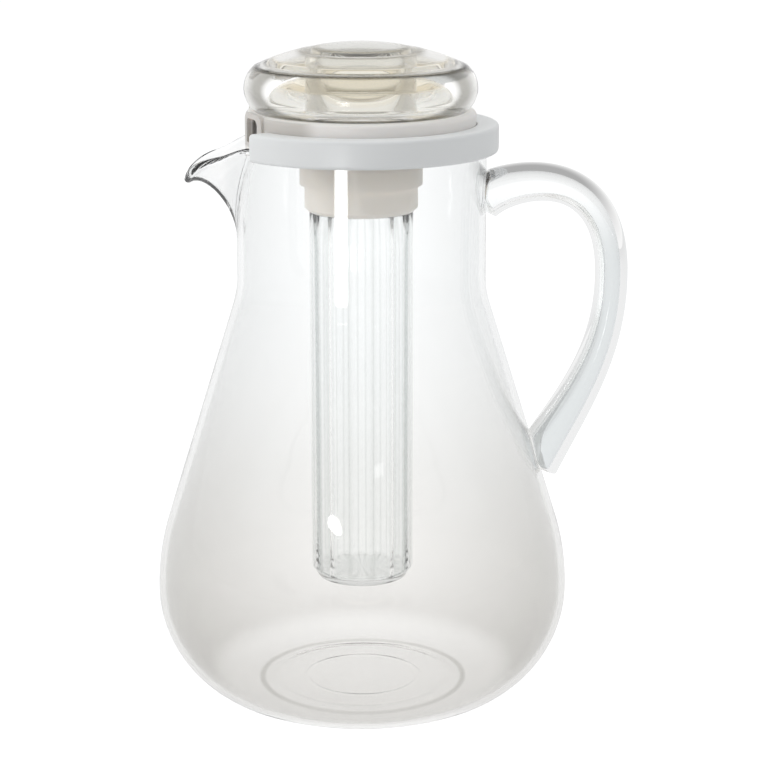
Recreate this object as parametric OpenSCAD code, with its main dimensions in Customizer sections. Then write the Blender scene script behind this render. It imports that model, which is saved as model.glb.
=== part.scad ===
// Clear pear-shaped pitcher with a lift-off lid and a screw-in ice tube.
// Millimetres, +Z up. The origin is on the jug's axis at the plane it stands on.
// The spout points to -X and the handle to +X.

/* [Jug] */
// Height of the rim above the table
rim_z = 242; // [225:1:260]
// Outer radius of the neck
neck_r = 52.6; // [51:0.2:56]
// Height at which the curved waist ends and the neck runs straight
waist_z = 185; // [175:1:195]
// Radius of the hollow curve of the waist
waist_arc = 45; // [30:1:60]
// Largest radius of the body
belly_r = 88.8; // [84:0.2:94]
// Height of the widest place
belly_z = 47; // [44:1:52]
// Radius of the side above the widest place
upper_arc = 103.6; // [90:0.2:115]
// Radius of the side below the widest place
lower_arc = 50; // [46:1:56]
// Radius of the turn from the side into the bottom
heel_arc = 30; // [26:1:34]
// Thickness of the moulded wall
wall = 2.6; // [2:0.1:3.4]

/* [Foot] */
// Height of the standing ring under the bottom
foot_h = 1.2; // [0.8:0.1:2]
// Outer radius of the standing ring
foot_r = 46.5; // [42:0.5:48]
// Width of the standing ring
foot_w = 5; // [3:0.5:8]
// Outer radius of the moulding mark under the bottom
mark_r = 25.3; // [15:0.1:30]
// Width of the moulding mark
mark_w = 1.5; // [1:0.1:3]
// Depth of the moulding mark
mark_depth = 0.4; // [0.2:0.1:0.8]

/* [Spout] */
// Distance of the spout's tip from the axis
spout_reach = 73.2; // [70:0.2:80]
// Height of the tip below the rim
spout_droop = 19.5; // [14:0.5:24]
// Angle from the spout's middle to its root on the rim
spout_half_angle = 33; // [28:1:36]
// Depth below the rim at which the spout leaves the neck
spout_depth = 42; // [34:1:48]
// Thickness of the spout's lip
spout_wall = 3; // [2.4:0.1:3.6]

/* [Handle] */
// Height of the upper joint's centre below the rim
handle_top_drop = 24.5; // [20:0.5:30]
// Distance of the grip's centre line from the axis
handle_reach = 106; // [100:1:116]
// Height of the grip's outermost place
handle_side_z = 184; // [176:1:190]
// Height of the lower joint's centre
handle_foot_z = 102; // [96:1:112]
// Thickness at the upper joint, in the plane of the handle
handle_top_t = 20; // [16:0.5:24]
// Thickness at the grip, in the plane of the handle
handle_grip_t = 13.8; // [12:0.2:18]
// Thickness at the lower joint, in the plane of the handle
handle_foot_t = 21; // [16:0.5:24]
// Width of the handle, across its plane
handle_w = 21; // [18:0.5:26]
// Thickness of the bond between the handle and the jug
bond = 0.05; // [0.02:0.01:0.1]

/* [Rim ring] */
// Outer radius of the ring
ring_r = 57.6; // [56:0.2:62]
// Height of the ring
ring_h = 11.6; // [10:0.2:14]
// Length of the skirt that hangs outside the neck
ring_skirt = 4.8; // [3:0.2:7]
// Rounding of the ring's outer edges
ring_round = 1.6; // [0.8:0.1:2.2]
// Angle from the spout's middle to the end of the ring
ring_gap_angle = 37.5; // [36:0.5:45]

/* [Lid body] */
// Outer radius of the drum
drum_r = 48.2; // [46.8:0.1:48.6]
// Thickness of the drum, the deck and the socket's wide part
lid_wall = 2.2; // [1.8:0.1:2.4]
// Height of the deck's top above the rim
deck_h = 12; // [11.5:0.1:15]
// Depth of the drum below the rim
drum_dip = 4; // [2:0.5:8]
// Rounding of the drum's top edge
drum_round = 1.8; // [1:0.1:2.2]
// Height of the bead that the ring clips over
clip_h = 0.7; // [0.4:0.1:0.9]
// Width of that bead
clip_w = 1.6; // [1.2:0.1:2]

/* [Pour slots] */
// Angle from the spout's middle to the near side of a slot
slot_from = 18.2; // [16:0.2:19]
// Angle from the spout's middle to the far side of a slot
slot_to = 31.6; // [30:0.2:33]
// Height of a slot
slot_h = 10; // [8:0.2:10.4]
// Radius of a slot's top corners
slot_round = 2.6; // [1:0.1:3]
// Width of the raised frame round a slot
slot_frame_w = 3.4; // [2:0.1:3.6]
// Height of the frame above the drum's side
slot_frame_h = 1.1; // [0.6:0.1:1.2]
// Height of the frame above the deck
slot_frame_rise = 1; // [0.6:0.1:1.4]

/* [Socket] */
// Outer radius of the socket's wide part
socket_r = 25.9; // [25.2:0.1:28]
// Outer radius of the socket's narrow part
collar_r = 23.9; // [23.4:0.1:24.8]
// Depth of the step between the two, below the rim
socket_step = 18.7; // [17:0.1:20]
// Depth of the socket's mouth below the rim
socket_depth = 30; // [29.5:0.5:32]
// Height and width of the bevel at the mouth
mouth_bevel = 1.6; // [1:0.1:1.8]

/* [Knob] */
// Largest radius of the knob
knob_r = 48.8; // [46:0.2:52]
// Height of the bulging side
knob_side_h = 18.2; // [14:0.2:22]
// Radius of the bulge
knob_bulge_arc = 12; // [11:0.1:14]
// Radius of the knob's hollow
knob_hollow_r = 39.6; // [37:0.2:41]
// Thickness of the knob's floor
knob_floor = 3.3; // [2.4:0.1:4]
// Height of the cap's dome above its edge
cap_rise = 10.2; // [8:0.2:14]
// Thickness of the cap
cap_t = 3; // [2.4:0.1:4]
// Radius of the raised disc in the middle
cap_disc_r = 18.3; // [14:0.1:20]
// Width of the shallow valley round the disc
cap_valley_w = 8.2; // [5:0.1:10]
// Depth of that valley
cap_valley = 0.9; // [0.4:0.1:1.2]
// Inner radius of the cap's spigot
spigot_r = 36.4; // [34:0.2:36.8]
// Length of the cap's spigot
spigot_h = 8.2; // [6:0.2:10]
// Outer radius of the hub that stands inside the knob
hub_r = 23.2; // [21:0.2:25]
// Thickness of the hub
hub_wall = 3.6; // [2.4:0.1:4]
// Outer radius of the snap fitting under the knob
snap_r = 19.6; // [18:0.1:20.5]
// Thickness of the snap fitting
snap_wall = 2.4; // [1.8:0.1:3]
// Length of the snap fitting
snap_h = 6.4; // [5:0.1:8]
// Height of the snap fitting's barb
snap_barb = 0.7; // [0.4:0.1:1]

/* [Ice tube] */
// Outer radius of the tube
tube_r = 21.9; // [21.8:0.1:22]
// Height of the tube's bottom above the table
tube_bottom_z = 51; // [40:1:80]
// Thickness of the tube's floor
tube_floor = 3; // [2:0.2:5]
// Radius inside the tube at the lands between its flutes
tube_land_r = 18; // [17:0.1:18.4]
// Depth of the flutes inside the tube
flute_depth = 0.8; // [0.4:0.1:0.9]
// Number of flutes
flutes = 12; // [8:1:20]
// Height of the bevel round the tube's bottom
tube_bevel_h = 4.8; // [2:0.2:8]
// Width of that bevel
tube_bevel_w = 2.7; // [1:0.1:3]
// Outer radius of the threaded neck
tube_neck_r = 20.9; // [20.8:0.1:21]
// Height of the threaded neck
tube_neck_h = 19; // [18.6:0.1:19.2]

/* [Screw thread] */
// Rise of the thread in one turn
thread_pitch = 5; // [4.6:0.1:5.4]
// Length of each thread in turns
thread_turns = 1.25; // [1:0.05:1.3]
// Height of the ridge on the tube
ridge_h = 0.8; // [0.7:0.05:0.85]
// Width of a ridge at its foot
ridge_foot_w = 2; // [1.6:0.1:2.2]
// Width of a ridge at its crest
ridge_crest_w = 1.1; // [0.8:0.1:1.2]

/* [Seal] */
// Thickness of the sealing ring
seal_d = 1.5; // [1.4:0.05:1.55]
// Width of the groove that holds it
seal_groove_w = 2; // [1.8:0.1:2.4]
// Depth of the groove's middle below the top of the tube's neck
seal_drop = 2.6; // [2.4:0.1:3.2]

/* [Fits] */
// Clearance between faces that rest on one another
seat_gap = 0.1; // [0.05:0.01:0.2]
// Clearance between pieces that clip together
clip_gap = 0.2; // [0.1:0.05:0.3]
// Clearance between the ring's skirt and the neck
skirt_gap = 0.5; // [0.3:0.05:0.8]
// Clearance between the screw threads and what they turn in
thread_gap = 0.2; // [0.1:0.05:0.3]
// Clearance round the sealing ring
seal_gap = 0.05; // [0.02:0.01:0.1]

/* [Hidden] */
$fn = 96;

// Overrun of every cut
over = 2;
// Number of straight steps in each curve
arc_steps = 8;
bead_steps = 5;
thread_steps = 40;
spout_columns = 28;
spout_rows = 8;
neck_rows = 2;
handle_rings = 18;
handle_sides = 20;
flute_points = 6;

// Centres of the jug's arcs as [radius, height], and where the straight cone meets them
belly_centre = [belly_r - upper_arc, belly_z];
base_centre = [belly_r - lower_arc, belly_z];
waist_centre = [neck_r + waist_arc, waist_z];
centres_span = waist_centre - belly_centre;
cone_angle = atan2(centres_span.y, centres_span.x) - acos((upper_arc + waist_arc) / norm(centres_span));
heel_drop = belly_z - foot_h - heel_arc;
heel_centre = [base_centre.x + sqrt(pow(lower_arc - heel_arc, 2) - pow(heel_drop, 2)), foot_h + heel_arc];
heel_angle = atan2(heel_centre.y - base_centre.y, heel_centre.x - base_centre.x);
neck_bore_r = neck_r - wall;

// Spout: shares that shape its edge, its keel and the line where it leaves the neck
edge_tip_shares = [0.34, 0.3];
edge_root_shares = [0.42, 0.66, 0.78];
lip_rise_share = 1.6;
keel_root_share = 0.33;
keel_back_share = 0.21;
keel_up_share = 0.36;
root_spread_share = 1.5;
root_climb_share = 1.5;
root_top_share = 0.12;
spout_tip = [spout_reach, 0, rim_z - spout_droop];
spout_root = [neck_r * cos(spout_half_angle), neck_r * sin(spout_half_angle), rim_z];
spout_out = spout_reach - spout_root.x;
// The neck is drawn apart in a sector round the spout, which starts at this height and runs a
// little past the spout's roots
sector_z = rim_z - spout_depth - wall;
sector_margin_angle = 4;
sector_past_share = 0.12;
sector_angle = spout_half_angle + sector_margin_angle;
sector_inset = wall / 80;

// Handle: shares of its reach and height that place the curve's handles
handle_lift_shares = [0.26, 0.17];
handle_brow_share = 1.47;
handle_drop_share = 0.42;
handle_foot_share = 0.38;
handle_foot_angle = 60;

// Heights of the lid, from the rim upwards
ring_z = rim_z - ring_skirt;
ring_top_z = ring_z + ring_h;
ring_bore_r = drum_r + clip_gap;
ring_skirt_r = neck_r + skirt_gap;
clip_z = (rim_z + ring_top_z) / 2;
deck_z = rim_z + deck_h;
deck_under_z = deck_z - lid_wall;
drum_z = rim_z - drum_dip;
drum_bore_r = drum_r - lid_wall;
slot_top_z = deck_under_z + lid_wall / 2;
slot_z = slot_top_z - slot_h;
slot_mid = (slot_from + slot_to) / 2;
slot_w = 2 * drum_r * sin((slot_to - slot_from) / 2);

// Socket and the tube's neck, from the mouth upwards
mouth_z = rim_z - socket_depth;
step_z = rim_z - socket_step;
shoulder_z = mouth_z - seat_gap;
neck_top_z = shoulder_z + tube_neck_h;
male_crest_r = tube_neck_r + ridge_h;
thread_bore_r = male_crest_r + thread_gap;
seal_z = neck_top_z - seal_drop;
seal_groove_r = tube_neck_r + seal_gap - seal_d + seal_gap;
seal_mid_r = seal_groove_r + seal_gap + seal_d / 2;
seal_bore_r = seal_mid_r + seal_d / 2 + seal_gap;
// The seal passes through the socket's thread, so the crest of that thread clears it
female_crest_r = seal_bore_r + thread_gap;
seal_land_z = seal_z - seal_groove_w / 2 - seal_gap;
ledge_z = neck_top_z + seat_gap;
ledge_r = tube_land_r;
thread_sink = ridge_h / 4;
female_thread_z = mouth_z + ridge_foot_w;
male_thread_z = female_thread_z + thread_pitch / 2;
deck_hole_r = snap_r + clip_gap;

// Knob, from the deck upwards
knob_z = deck_z + seat_gap;
knob_mid_z = knob_z + knob_side_h / 2;
knob_bulge_r = knob_r - knob_bulge_arc;
knob_bulge_angle = asin(knob_side_h / 2 / knob_bulge_arc);
knob_edge_r = knob_bulge_r + knob_bulge_arc * cos(knob_bulge_angle);
knob_seam_z = knob_z + knob_side_h;
knob_floor_z = knob_z + knob_floor;
cap_z = knob_seam_z + seat_gap;
cap_arc = (pow(knob_edge_r, 2) + pow(cap_rise, 2)) / (2 * cap_rise);
cap_centre_z = cap_z + cap_rise - cap_arc;
cap_valley_r = cap_disc_r + cap_valley_w;
spigot_outer_r = knob_hollow_r - clip_gap;
hub_z = knob_floor_z + seat_gap;
// The hub ends inside the cap's wall
hub_top_z = cap_centre_z + sqrt(pow(cap_arc - cap_valley - cap_t / 3, 2) - pow(hub_r, 2));

// Points of an arc round a centre, from one angle to another
function arc(centre, radius, from, to, steps = arc_steps) =
    [for (i = [0 : steps]) let (a = from + (to - from) * i / steps)
        centre + radius * [cos(a), sin(a)]];

// Point at share t of a cubic curve through four control points
function curve(p, t) =
    pow(1 - t, 3) * p[0] + 3 * pow(1 - t, 2) * t * p[1] + 3 * (1 - t) * t * t * p[2] + pow(t, 3) * p[3];

// Side of the jug from its bottom to its rim, drawn inset from the outer face
function jug_side(inset, top_z = rim_z) = concat(
    arc(heel_centre, heel_arc - inset, -90, heel_angle),
    arc(base_centre, lower_arc - inset, heel_angle, 0),
    arc(belly_centre, upper_arc - inset, 0, cone_angle),
    arc(waist_centre, waist_arc + inset, 180 + cone_angle, 180),
    [[neck_r - inset, top_z]]
);

// Neck and spout as one curved sheet towards +X. t runs from one root on the rim (-1) over the
// spout's tip (0) to the other (1) and a little past both. v runs from the foot of the sector (0)
// over the line where the spout leaves the neck (1) to the edge (2).
function mirror_y(p, t) = [p.x, t < 0 ? -p.y : p.y, p.z];
function spout_edge(t) = mirror_y(curve([
    spout_tip,
    spout_tip + [0, spout_root.y * edge_tip_shares.x, spout_droop * edge_tip_shares.y],
    spout_tip + [-spout_out * edge_root_shares.x, spout_root.y * edge_root_shares.y,
                 spout_droop * edge_root_shares.z],
    spout_root
], abs(t)), t);
function neck_angle(t) = abs(t) < 1
    ? spout_half_angle * pow(abs(t), root_spread_share)
    : spout_half_angle + (sector_angle - spout_half_angle) * (abs(t) - 1) / sector_past_share;
function neck_point(r, t, z) = mirror_y([r * cos(neck_angle(t)), r * sin(neck_angle(t)), z], t);
function root_z(t) = rim_z - spout_depth
    * max(root_top_share, 1 - pow(min(1, abs(t)), root_climb_share));
function sheet_point(t, v) = let (
    root = neck_point(neck_r, t, root_z(t)),
    lip = abs(t) < 1 ? spout_edge(t) : neck_point(neck_r, t, rim_z),
    fade = abs(t) < 1 ? 1 - t * t : 0,
    curl = fade * fade
) v < 1
    ? neck_point(neck_r, t, sector_z + (root.z - sector_z) * v)
    : curve([
        root,
        root + [0, 0, max(spout_depth * keel_root_share * fade, (lip.z - root.z) / 3)],
        lip + [-spout_out * keel_back_share * curl, 0,
               spout_droop * keel_up_share * curl - (1 - curl) * (lip.z - root.z) / 3],
        lip
    ], v - 1);
// Direction out of the sheet, from small steps along t and v
function sheet_out(t, v) = let (
    step = 1 / 500,
    along = sheet_point(t + step, v) - sheet_point(t - step, v),
    up = sheet_point(t, min(2, v + step)) - sheet_point(t, v == 1 ? v : v - step),
    n = cross(along, up)
) n / norm(n);
function sheet_inner(t, v) = v <= 1 || abs(t) >= 1
    ? let (p = sheet_point(t, v)) neck_point(neck_bore_r + sector_inset, t, p.z)
    : let (
        p = sheet_point(t, v) - (wall + (spout_wall - wall) * (v - 1)) * sheet_out(t, v),
        lip_z = spout_edge(t).z + spout_wall * lip_rise_share * pow(1 - t * t, 2)
    ) [p.x, p.y, min(p.z, lip_z, rim_z)];
function sheet_outer(t, v) = v <= 1 || abs(t) >= 1
    ? let (p = sheet_point(t, v)) neck_point(neck_r - sector_inset, t, p.z)
    : sheet_point(t, v);

// Two triangles that fill a four-sided face
function grid_face(a, b, c, d) = [[a, b, c], [a, c, d]];
// Faces that close two grids of points, one behind the other
function sheet_faces(columns, rows) = let (
    w = rows + 1,
    back = (columns + 1) * w
) [
    for (i = [0 : columns - 1], j = [0 : rows - 1], f = grid_face(
        i * w + j, i * w + j + 1, (i + 1) * w + j + 1, (i + 1) * w + j)) f,
    for (i = [0 : columns - 1], j = [0 : rows - 1], f = grid_face(
        back + i * w + j, back + (i + 1) * w + j, back + (i + 1) * w + j + 1, back + i * w + j + 1)) f,
    for (i = [0 : columns - 1], f = grid_face(
        i * w, (i + 1) * w, back + (i + 1) * w, back + i * w)) f,
    for (i = [0 : columns - 1], f = grid_face(
        i * w + rows, back + i * w + rows, back + (i + 1) * w + rows, (i + 1) * w + rows)) f,
    for (j = [0 : rows - 1], f = grid_face(
        j, back + j, back + j + 1, j + 1)) f,
    for (j = [0 : rows - 1], f = grid_face(
        columns * w + j, columns * w + j + 1, back + columns * w + j + 1, back + columns * w + j)) f
];

// Sector of the neck that opens out into the spout
module spout_sector() {
    ts = concat([-1 - sector_past_share, -1 - sector_past_share / 2],
        [for (i = [0 : spout_columns]) 2 * i / spout_columns - 1],
        [1 + sector_past_share / 2, 1 + sector_past_share]);
    vs = concat([for (j = [0 : neck_rows - 1]) j / neck_rows],
        [for (j = [0 : spout_rows]) 1 + j / spout_rows]);
    outer = [for (t = ts, v = vs) sheet_outer(t, v)];
    inner = [for (t = ts, v = vs) sheet_inner(t, v)];
    polyhedron(concat(outer, inner), sheet_faces(len(ts) - 1, len(vs) - 1), convexity = 6);
}

// Helical ridge of a screw thread, from its foot radius to its crest radius
module thread_ridge(foot_radius, crest_radius, z) {
    count = ceil(thread_turns * thread_steps);
    sides = [[foot_radius, -ridge_foot_w / 2], [foot_radius, ridge_foot_w / 2],
             [crest_radius, ridge_crest_w / 2], [crest_radius, -ridge_crest_w / 2]];
    points = [for (i = [0 : count]) let (turn = i * thread_turns / count, a = 360 * turn)
        for (s = sides) [s.x * cos(a), s.x * sin(a), z + thread_pitch * turn + s.y]];
    outward = crest_radius > foot_radius;
    body = [for (i = [0 : count - 1], j = [0 : 3], f = grid_face(
        4 * i + j, 4 * i + (j + 1) % 4, 4 * i + 4 + (j + 1) % 4, 4 * i + 4 + j)) f];
    ends = [[3, 2, 1], [3, 1, 0], [4 * count, 4 * count + 1, 4 * count + 2],
            [4 * count, 4 * count + 2, 4 * count + 3]];
    faces = concat(body, ends);
    polyhedron(points, outward ? [for (f = faces) [f[2], f[1], f[0]]] : faces, convexity = 4);
}

// Clear body: one moulding with its foot and its spout
module jug_body() color([0.86, 0.9, 0.92, 0.35]) {
    difference() {
        rotate_extrude() polygon(concat([[0, foot_h]], jug_side(0, sector_z), [[0, sector_z]]));
        rotate_extrude() polygon(concat([[0, foot_h + wall]], jug_side(wall, sector_z + over),
            [[0, sector_z + over]]));
        translate([0, 0, foot_h - over]) difference() {
            cylinder(r = mark_r, h = over + mark_depth);
            cylinder(r = mark_r - mark_w, h = over + mark_depth);
        }
    }
    difference() {
        cylinder(r = foot_r, h = foot_h + wall / 2);
        translate([0, 0, -over]) cylinder(r = foot_r - foot_w, h = foot_h + wall + 2 * over);
    }
    rotate([0, 0, 180 + sector_angle]) rotate_extrude(angle = 360 - 2 * sector_angle)
        translate([neck_bore_r, sector_z]) square([wall, rim_z - sector_z]);
    rotate([0, 0, 180]) spout_sector();
}

// Centre line of the handle in the XZ plane, from the neck over the grip to the body
handle_start = [neck_r - wall / 2, rim_z - handle_top_drop];
handle_side = [handle_reach, handle_side_z];
foot_on_cone = (belly_centre.x * cos(cone_angle) + belly_centre.y * sin(cone_angle) + upper_arc
    - handle_foot_z * sin(cone_angle)) / cos(cone_angle);
handle_end = [foot_on_cone - wall / 2, handle_foot_z];
handle_run = handle_reach - neck_r;
handle_fall = handle_side_z - handle_foot_z;
brow_z = handle_side_z + (handle_start.y - handle_side_z) * handle_brow_share;
handle_upper = [
    handle_start,
    handle_start + handle_run * handle_lift_shares,
    [handle_reach, brow_z],
    handle_side
];
handle_lower = [
    handle_side,
    [handle_reach, handle_side_z - handle_fall * handle_drop_share],
    handle_end + handle_fall * handle_foot_share * [cos(handle_foot_angle), sin(handle_foot_angle)],
    handle_end
];
function handle_line(s) = s < 1 ? curve(handle_upper, s) : curve(handle_lower, s - 1);
function handle_thickness(s) = s < 1
    ? handle_grip_t + (handle_top_t - handle_grip_t) * pow(1 - s, 2)
    : handle_grip_t + (handle_foot_t - handle_grip_t) * pow(s - 1, 2);

// Solid clear handle, cut to the curve of the jug at both ends
module handle() color([0.88, 0.92, 0.94, 0.45]) {
    count = 2 * handle_rings;
    step = 1 / 500;
    points = [for (i = [0 : count]) let (
        s = 2 * i / count,
        p = handle_line(s),
        along = handle_line(min(2, s + step)) - handle_line(max(0, s - step)),
        across = [-along.y, along.x] / norm(along),
        t = handle_thickness(s) / 2
    ) for (j = [0 : handle_sides - 1]) let (a = 360 * j / handle_sides)
        [p.x + across.x * t * cos(a), handle_w / 2 * sin(a), p.y + across.y * t * cos(a)]];
    skin = [for (i = [0 : count - 1], j = [0 : handle_sides - 1], f = grid_face(
        i * handle_sides + j, i * handle_sides + (j + 1) % handle_sides,
        (i + 1) * handle_sides + (j + 1) % handle_sides, (i + 1) * handle_sides + j)) f];
    first_end = [[for (j = [0 : handle_sides - 1]) handle_sides - 1 - j]];
    last_end = [[for (j = [0 : handle_sides - 1]) count * handle_sides + j]];
    difference() {
        polyhedron(points, concat(skin, first_end, last_end), convexity = 6);
        rotate_extrude() polygon(concat([[0, foot_h]], jug_side(-bond), [[0, rim_z]]));
    }
}

// White ring that caps the rim, open at the spout
module rim_ring() color([0.93, 0.94, 0.94]) {
    rotate([0, 0, 180 + ring_gap_angle]) rotate_extrude(angle = 360 - 2 * ring_gap_angle) difference() {
        polygon(concat(
            [[ring_bore_r, rim_z + seat_gap]],
            [[ring_skirt_r, rim_z + seat_gap], [ring_skirt_r, ring_z]],
            arc([ring_r - ring_round, ring_z + ring_round], ring_round, -90, 0, bead_steps),
            arc([ring_r - ring_round, ring_top_z - ring_round], ring_round, 0, 90, bead_steps),
            [[ring_bore_r, ring_top_z]]
        ));
        translate([ring_bore_r - over, clip_z - clip_w / 2 - clip_gap])
            square([over + clip_h, clip_w + 2 * clip_gap]);
    }
}

// Raised frame round one pour slot, or the slot itself
module slot_block(grow, depth) {
    rotate([0, 0, 180]) translate([drum_bore_r - over, 0, 0]) rotate([90, 0, 90]) linear_extrude(depth) {
        half = slot_w / 2 + grow;
        top = slot_top_z + min(grow, deck_z + slot_frame_rise - slot_top_z);
        corner = slot_round + min(grow, slot_round) / 2;
        polygon(concat(
            [[-half, slot_z - grow], [half, slot_z - grow]],
            arc([half - corner, top - corner], corner, 0, 90, bead_steps),
            arc([corner - half, top - corner], corner, 90, 180, bead_steps)
        ));
    }
}

// Translucent lid: deck, drum with two pour slots, and the socket for the ice tube
module lid_body() color([0.85, 0.81, 0.77, 0.9]) {
    difference() {
        union() {
            rotate_extrude() polygon(concat(
                [[deck_hole_r, deck_under_z], [drum_bore_r, deck_under_z], [drum_bore_r, drum_z],
                 [drum_r, drum_z]],
                arc([drum_r - drum_round, deck_z - drum_round], drum_round, 0, 90, bead_steps),
                [[deck_hole_r, deck_z]]
            ));
            intersection() {
                for (side = [-1, 1]) rotate([0, 0, side * slot_mid])
                    slot_block(slot_frame_w, lid_wall + slot_frame_h + 2 * over);
                difference() {
                    translate([0, 0, drum_z])
                        cylinder(r = drum_r + slot_frame_h, h = deck_z + slot_frame_rise - drum_z);
                    translate([0, 0, drum_z - over]) cylinder(r = drum_r - lid_wall / 2, h = rim_z);
                }
            }
            rotate([0, 0, 180 + ring_gap_angle]) rotate_extrude(angle = 360 - 2 * ring_gap_angle)
                polygon([[drum_r - lid_wall / 2, clip_z - clip_w / 2], [drum_r, clip_z - clip_w / 2],
                         [drum_r + clip_h, clip_z - clip_w / 4], [drum_r + clip_h, clip_z + clip_w / 4],
                         [drum_r, clip_z + clip_w / 2], [drum_r - lid_wall / 2, clip_z + clip_w / 2]]);
        }
        for (side = [-1, 1]) rotate([0, 0, side * slot_mid])
            slot_block(0, lid_wall + slot_frame_h + 3 * over);
    }
    rotate_extrude() polygon([
        [thread_bore_r, mouth_z], [collar_r - mouth_bevel, mouth_z],
        [collar_r, mouth_z + mouth_bevel], [collar_r, step_z], [socket_r, step_z],
        [socket_r, deck_under_z + lid_wall / 2], [socket_r - lid_wall, deck_under_z + lid_wall / 2],
        [socket_r - lid_wall, ledge_z + lid_wall], [ledge_r, ledge_z + lid_wall], [ledge_r, ledge_z],
        [seal_bore_r, ledge_z], [seal_bore_r, seal_land_z], [thread_bore_r, seal_land_z]
    ]);
    thread_ridge(thread_bore_r + thread_sink, female_crest_r, female_thread_z);
}

// Clear bowl of the knob, with the snap fitting that holds it in the deck
module knob_shell() color([0.8, 0.82, 0.8, 0.5]) {
    barb_z = deck_under_z - clip_gap;
    snap_end_z = knob_z - snap_h;
    rotate_extrude() polygon(concat(
        [[0, knob_z], [snap_r - snap_wall, knob_z], [snap_r - snap_wall, snap_end_z], [snap_r, snap_end_z],
         [snap_r + snap_barb, barb_z], [snap_r, barb_z], [snap_r, knob_z]],
        arc([knob_bulge_r, knob_mid_z], knob_bulge_arc, -knob_bulge_angle, knob_bulge_angle),
        [[knob_hollow_r, knob_seam_z], [knob_hollow_r, knob_floor_z], [0, knob_floor_z]]
    ));
}

// Clear cap of the knob: a shallow dome with a raised disc, a spigot and a hub
module knob_cap() color([0.8, 0.82, 0.8, 0.5]) {
    edge_a = acos(knob_edge_r / cap_arc);
    valley_a = acos(cap_valley_r / cap_arc);
    disc_a = acos(cap_disc_r / cap_arc);
    inner_arc = cap_arc - cap_t;
    dome = [0, cap_centre_z];
    rotate_extrude() difference() {
        union() {
            polygon(concat([[0, cap_z]], arc(dome, cap_arc, edge_a, valley_a),
                arc(dome, cap_arc - cap_valley, (valley_a + disc_a) / 2, disc_a, bead_steps),
                arc(dome, cap_arc - cap_valley / 2, disc_a, 90)));
            translate([0, cap_z - spigot_h]) square([spigot_outer_r, spigot_h]);
        }
        polygon(concat([[0, cap_z - spigot_h - over], [spigot_r, cap_z - spigot_h - over]],
            arc(dome, inner_arc, acos(spigot_r / inner_arc), 90)));
    }
    rotate_extrude() translate([hub_r - hub_wall, hub_z]) square([hub_wall, hub_top_z - hub_z]);
}

// Rubber ring in the groove of the tube's neck
module tube_seal() color([0.88, 0.88, 0.86]) {
    translate([0, 0, seal_z]) rotate_extrude() translate([seal_mid_r, 0]) circle(d = seal_d, $fn = 24);
}

// Fluted bore of the ice tube as a flat outline
module flute_outline() {
    count = flutes * flute_points;
    polygon([for (i = [0 : count - 1]) let (
        a = 360 * i / count,
        r = tube_land_r + flute_depth * (1 - cos(flutes * a)) / 2
    ) r * [cos(a), sin(a)]]);
}

// Clear ice tube: closed below, fluted inside, threaded above
module ice_tube() color([0.85, 0.9, 0.92, 0.45]) {
    difference() {
        rotate_extrude() polygon([
            [0, tube_bottom_z], [tube_r - tube_bevel_w, tube_bottom_z],
            [tube_r, tube_bottom_z + tube_bevel_h], [tube_r, shoulder_z], [tube_neck_r, shoulder_z],
            [tube_neck_r, seal_z - seal_groove_w / 2], [seal_groove_r, seal_z - seal_groove_w / 2],
            [seal_groove_r, seal_z + seal_groove_w / 2], [tube_neck_r, seal_z + seal_groove_w / 2],
            [tube_neck_r, neck_top_z], [0, neck_top_z]
        ]);
        translate([0, 0, tube_bottom_z + tube_floor])
            linear_extrude(neck_top_z - tube_bottom_z - tube_floor + over) flute_outline();
    }
    thread_ridge(tube_neck_r - thread_sink, male_crest_r, male_thread_z);
}

jug_body();
handle();
rim_ring();
lid_body();
knob_shell();
knob_cap();
tube_seal();
ice_tube();
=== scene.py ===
import math

import bpy
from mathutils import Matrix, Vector


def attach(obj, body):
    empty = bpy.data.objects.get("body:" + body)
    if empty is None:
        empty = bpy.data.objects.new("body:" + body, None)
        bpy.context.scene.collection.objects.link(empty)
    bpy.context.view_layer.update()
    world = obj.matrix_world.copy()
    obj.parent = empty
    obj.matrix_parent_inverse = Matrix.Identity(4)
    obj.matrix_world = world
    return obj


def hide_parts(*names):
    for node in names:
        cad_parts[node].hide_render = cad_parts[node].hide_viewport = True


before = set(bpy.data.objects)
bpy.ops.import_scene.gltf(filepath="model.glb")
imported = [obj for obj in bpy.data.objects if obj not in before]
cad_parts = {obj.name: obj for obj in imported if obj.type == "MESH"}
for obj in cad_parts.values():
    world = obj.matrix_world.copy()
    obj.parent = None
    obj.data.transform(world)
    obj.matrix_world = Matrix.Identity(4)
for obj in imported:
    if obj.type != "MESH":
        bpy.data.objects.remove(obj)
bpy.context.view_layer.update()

# Table and studio
# A pale table top under a white room, so the clear plastic is seen against white from any side.
# The table keeps the pitcher's shadow.
table_half = 6.0
table_drop = 0.0003
table = bpy.data.objects.new("table_top", bpy.data.meshes.new("table_top"))
table.data.from_pydata(
    [(-table_half, -table_half, -table_drop), (table_half, -table_half, -table_drop),
     (table_half, table_half, -table_drop), (-table_half, table_half, -table_drop)], [], [(0, 1, 2, 3)])
bpy.context.collection.objects.link(table)


def add_node(tree, kind, **values):
    """A shader node with its properties and its unlinked sockets set."""
    n = tree.nodes.new(kind)
    for key, value in values.items():
        if key in n.inputs:
            n.inputs[key].default_value = value
        else:
            setattr(n, key, value)
    return n


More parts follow.
